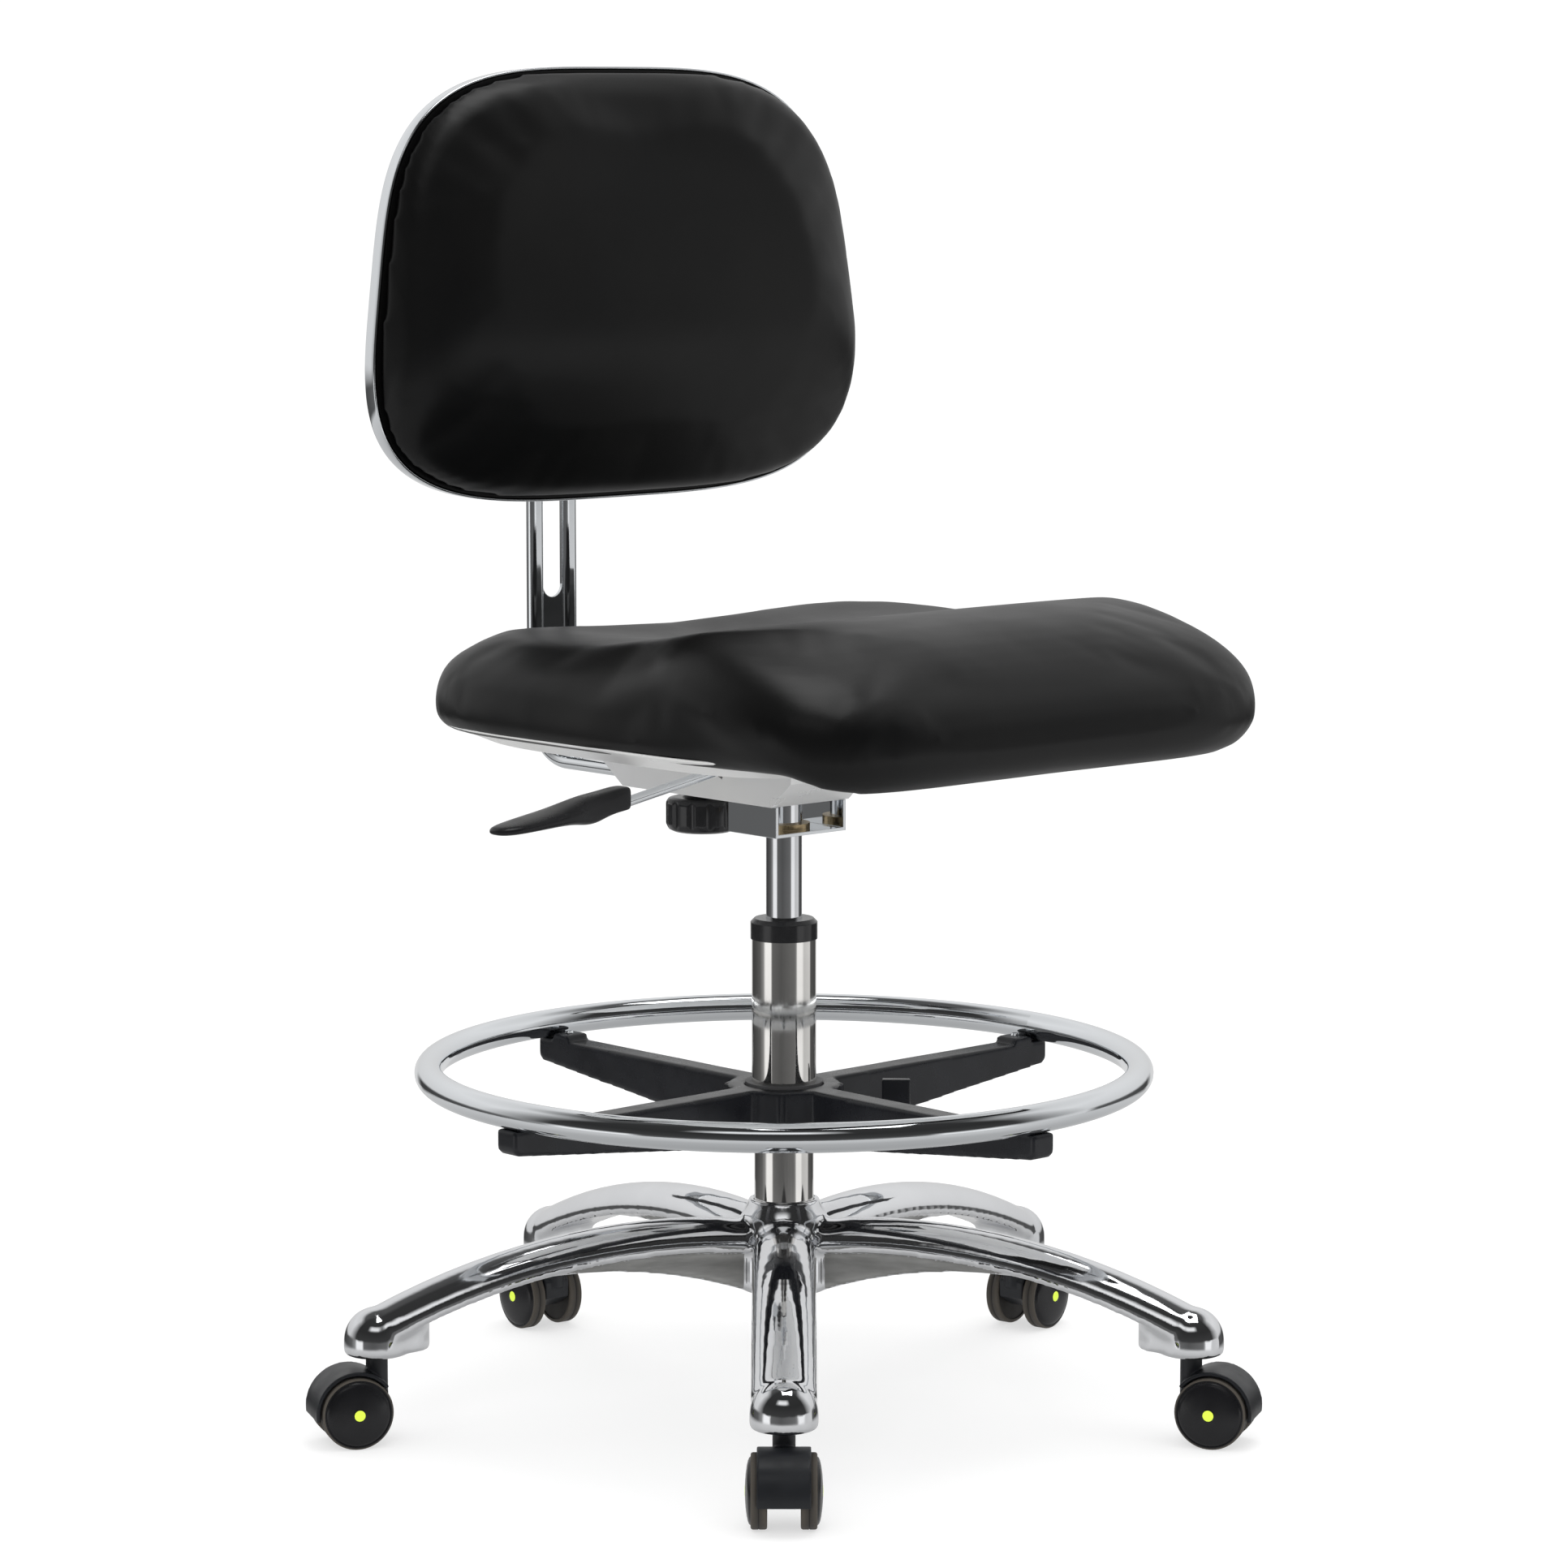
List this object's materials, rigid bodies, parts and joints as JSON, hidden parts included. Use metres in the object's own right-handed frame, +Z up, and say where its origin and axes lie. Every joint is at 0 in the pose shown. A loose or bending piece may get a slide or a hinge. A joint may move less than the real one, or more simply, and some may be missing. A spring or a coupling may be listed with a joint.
{
  "type": "drafting chair",
  "caption": "Swivel drafting chair with contoured vinyl seat, slotted back bar, height-adjustable foot ring and five-star base on twin-wheel casters.",
  "frame": {"origin": "on the floor, on the column's axis", "axes": "+Z up along the column, -Y the way the sitter faces, +X to the sitter's left"},
  "size_m": [0.7261, 0.7142, 1.04],
  "materials": {
    "polished_aluminium": "mirror polished cast",
    "stainless": "polished, drawn lengthways",
    "black_plastic": "satin moulded",
    "bearing_steel": "turned",
    "chrome": "bright chrome plate",
    "brass": "dull",
    "plated_steel": "bright nickel plate",
    "back_bracket_black": "satin black paint",
    "grey_plastic": "satin moulded",
    "vinyl": "smooth satin upholstery vinyl",
    "plywood": "plain sanded",
    "caster_black": "fine spark-eroded texture",
    "caster_wheel": "dense conductive tread with smooth cap"
  },
  "bodies": {
    "base": {"base_star": "polished_aluminium", "column_tube": "stainless", "column_collar": "black_plastic", "thrust_bearing": "bearing_steel"},
    "lift_rod": {"piston_rod": "bearing_steel", "piston_head": "bearing_steel"},
    "seat_frame": {"pressure_tube": "chrome", "lift_washer": "brass", "seat_channel": "chrome", "mechanism_housing": "plated_steel", "tube_socket": "bearing_steel", "seat_plate": "plated_steel", "seat_bolts": "chrome", "seat_pan": "plated_steel", "seat_cushion": "vinyl", "lever_bracket": "bearing_steel", "lever_pin": "chrome", "clamp_strap": "bearing_steel"},
    "lever": {"lever_rod": "chrome", "lever_paddle": "black_plastic"},
    "valve_pin": {"valve_pin": "brass"},
    "back_bar": {"back_bar": "chrome"},
    "depth_knob": {"depth_knob": "black_plastic", "depth_stud": "chrome"},
    "backrest": {"back_bracket": "back_bracket_black", "back_clamp_plate": "chrome", "back_shell": "chrome", "back_board": "plywood", "back_cushion": "vinyl"},
    "height_knob": {"height_knob": "black_plastic"},
    "foot_ring": {"ring_tube": "chrome", "ring_spider": "black_plastic", "ring_bush": "grey_plastic", "ring_screws": "chrome"},
    "ring_clamp": {"ring_clamp_lever": "black_plastic"},
    "caster_1": {"caster_1_stem": "bearing_steel", "caster_1_hood": "caster_black", "caster_1_axle": "bearing_steel"},
    "caster_1_wheel_l": {"caster_1_wheel_l": "caster_wheel"},
    "caster_1_wheel_r": {"caster_1_wheel_r": "caster_wheel"},
    "caster_2": {"caster_2_stem": "bearing_steel", "caster_2_hood": "caster_black", "caster_2_axle": "bearing_steel"},
    "caster_2_wheel_l": {"caster_2_wheel_l": "caster_wheel"},
    "caster_2_wheel_r": {"caster_2_wheel_r": "caster_wheel"},
    "caster_3": {"caster_3_stem": "bearing_steel", "caster_3_hood": "caster_black", "caster_3_axle": "bearing_steel"},
    "caster_3_wheel_l": {"caster_3_wheel_l": "caster_wheel"},
    "caster_3_wheel_r": {"caster_3_wheel_r": "caster_wheel"},
    "caster_4": {"caster_4_stem": "bearing_steel", "caster_4_hood": "caster_black", "caster_4_axle": "bearing_steel"},
    "caster_4_wheel_l": {"caster_4_wheel_l": "caster_wheel"},
    "caster_4_wheel_r": {"caster_4_wheel_r": "caster_wheel"},
    "caster_5": {"caster_5_stem": "bearing_steel", "caster_5_hood": "caster_black", "caster_5_axle": "bearing_steel"},
    "caster_5_wheel_l": {"caster_5_wheel_l": "caster_wheel"},
    "caster_5_wheel_r": {"caster_5_wheel_r": "caster_wheel"}
  },
  "joints": [
    {"name": "seat_swivel", "type": "hinge", "parent": "base", "child": "lift_rod", "pos_m": [0, 0, 0.1], "axis": [0, 0, 1], "continuous": true},
    {"name": "seat_height", "type": "slide", "parent": "lift_rod", "child": "seat_frame", "axis": [0, 0, 1], "range_m": [-0.056, 0.14]},
    {"name": "lever_lift", "type": "hinge", "parent": "seat_frame", "child": "lever", "pos_m": [-0.024, 0, 0.515], "axis": [0, 1, 0], "range_deg": [0, 7], "stiffness_Nm_per_rad": 8, "springref_deg": -6.88},
    {"name": "valve_press", "type": "slide", "parent": "seat_frame", "child": "valve_pin", "axis": [0, 0, 1], "range_m": [-0.004, 0.0001]},
    {"name": "back_depth", "type": "slide", "parent": "seat_frame", "child": "back_bar", "axis": [0, 1, 0], "range_m": [-0.02, 0.02]},
    {"name": "depth_knob_turn", "type": "hinge", "parent": "seat_frame", "child": "depth_knob", "pos_m": [0, 0.095, 0.46], "axis": [0, 0, 1], "range_deg": [0, 330]},
    {"name": "back_height", "type": "slide", "parent": "back_bar", "child": "backrest", "axis": [0, 0, 1], "range_m": [-0.055, 0.04]},
    {"name": "height_knob_turn", "type": "hinge", "parent": "backrest", "child": "height_knob", "pos_m": [0, 0.3, 0.8], "axis": [0, 1, 0], "range_deg": [0, 330]},
    {"name": "ring_height", "type": "slide", "parent": "base", "child": "foot_ring", "axis": [0, 0, 1], "range_m": [-0.04, 0.1]},
    {"name": "ring_clamp_turn", "type": "hinge", "parent": "foot_ring", "child": "ring_clamp", "pos_m": [0.05035, -0.04863, 0.2359], "axis": [0.7193, -0.6947, 0], "range_deg": [0, 330]},
    {"name": "caster_1_swivel", "type": "hinge", "parent": "base", "child": "caster_1", "pos_m": [-0.21814, -0.24227, 0.07], "axis": [0, 0, 1], "continuous": true},
    {"name": "caster_1_roll_l", "type": "hinge", "parent": "caster_1", "child": "caster_1_wheel_l", "pos_m": [-0.23152, -0.25713, 0.0275], "axis": [0.7431, -0.6691, 0], "continuous": true},
    {"name": "caster_1_roll_r", "type": "hinge", "parent": "caster_1", "child": "caster_1_wheel_r", "pos_m": [-0.23152, -0.25713, 0.0275], "axis": [0.7431, -0.6691, 0], "continuous": true},
    {"name": "caster_2_swivel", "type": "hinge", "parent": "base", "child": "caster_2", "pos_m": [0.163, -0.28232, 0.07], "axis": [0, 0, 1], "continuous": true},
    {"name": "caster_2_roll_l", "type": "hinge", "parent": "caster_2", "child": "caster_2_wheel_l", "pos_m": [0.173, -0.29964, 0.0275], "axis": [0.866, 0.5, 0], "continuous": true},
    {"name": "caster_2_roll_r", "type": "hinge", "parent": "caster_2", "child": "caster_2_wheel_r", "pos_m": [0.173, -0.29964, 0.0275], "axis": [0.866, 0.5, 0], "continuous": true},
    {"name": "caster_3_swivel", "type": "hinge", "parent": "base", "child": "caster_3", "pos_m": [0.31888, 0.06778, 0.07], "axis": [0, 0, 1], "continuous": true},
    {"name": "caster_3_roll_l", "type": "hinge", "parent": "caster_3", "child": "caster_3_wheel_l", "pos_m": [0.33844, 0.07194, 0.0275], "axis": [-0.2079, 0.9781, 0], "continuous": true},
    {"name": "caster_3_roll_r", "type": "hinge", "parent": "caster_3", "child": "caster_3_wheel_r", "pos_m": [0.33844, 0.07194, 0.0275], "axis": [-0.2079, 0.9781, 0], "continuous": true},
    {"name": "caster_4_swivel", "type": "hinge", "parent": "base", "child": "caster_4", "pos_m": [0.03408, 0.32421, 0.07], "axis": [0, 0, 1], "continuous": true},
    {"name": "caster_4_roll_l", "type": "hinge", "parent": "caster_4", "child": "caster_4_wheel_l", "pos_m": [0.03617, 0.3441, 0.0275], "axis": [-0.9945, 0.1045, 0], "continuous": true},
    {"name": "caster_4_roll_r", "type": "hinge", "parent": "caster_4", "child": "caster_4_wheel_r", "pos_m": [0.03617, 0.3441, 0.0275], "axis": [-0.9945, 0.1045, 0], "continuous": true},
    {"name": "caster_5_swivel", "type": "hinge", "parent": "base", "child": "caster_5", "pos_m": [-0.29782, 0.1326, 0.07], "axis": [0, 0, 1], "continuous": true},
    {"name": "caster_5_roll_l", "type": "hinge", "parent": "caster_5", "child": "caster_5_wheel_l", "pos_m": [-0.31609, 0.14073, 0.0275], "axis": [-0.4067, -0.9135, 0], "continuous": true},
    {"name": "caster_5_roll_r", "type": "hinge", "parent": "caster_5", "child": "caster_5_wheel_r", "pos_m": [-0.31609, 0.14073, 0.0275], "axis": [-0.4067, -0.9135, 0], "continuous": true}
  ],
  "couplings": [
    {"joint": "valve_press", "follows": "lever_lift", "m_per_rad": -0.03}
  ]
}
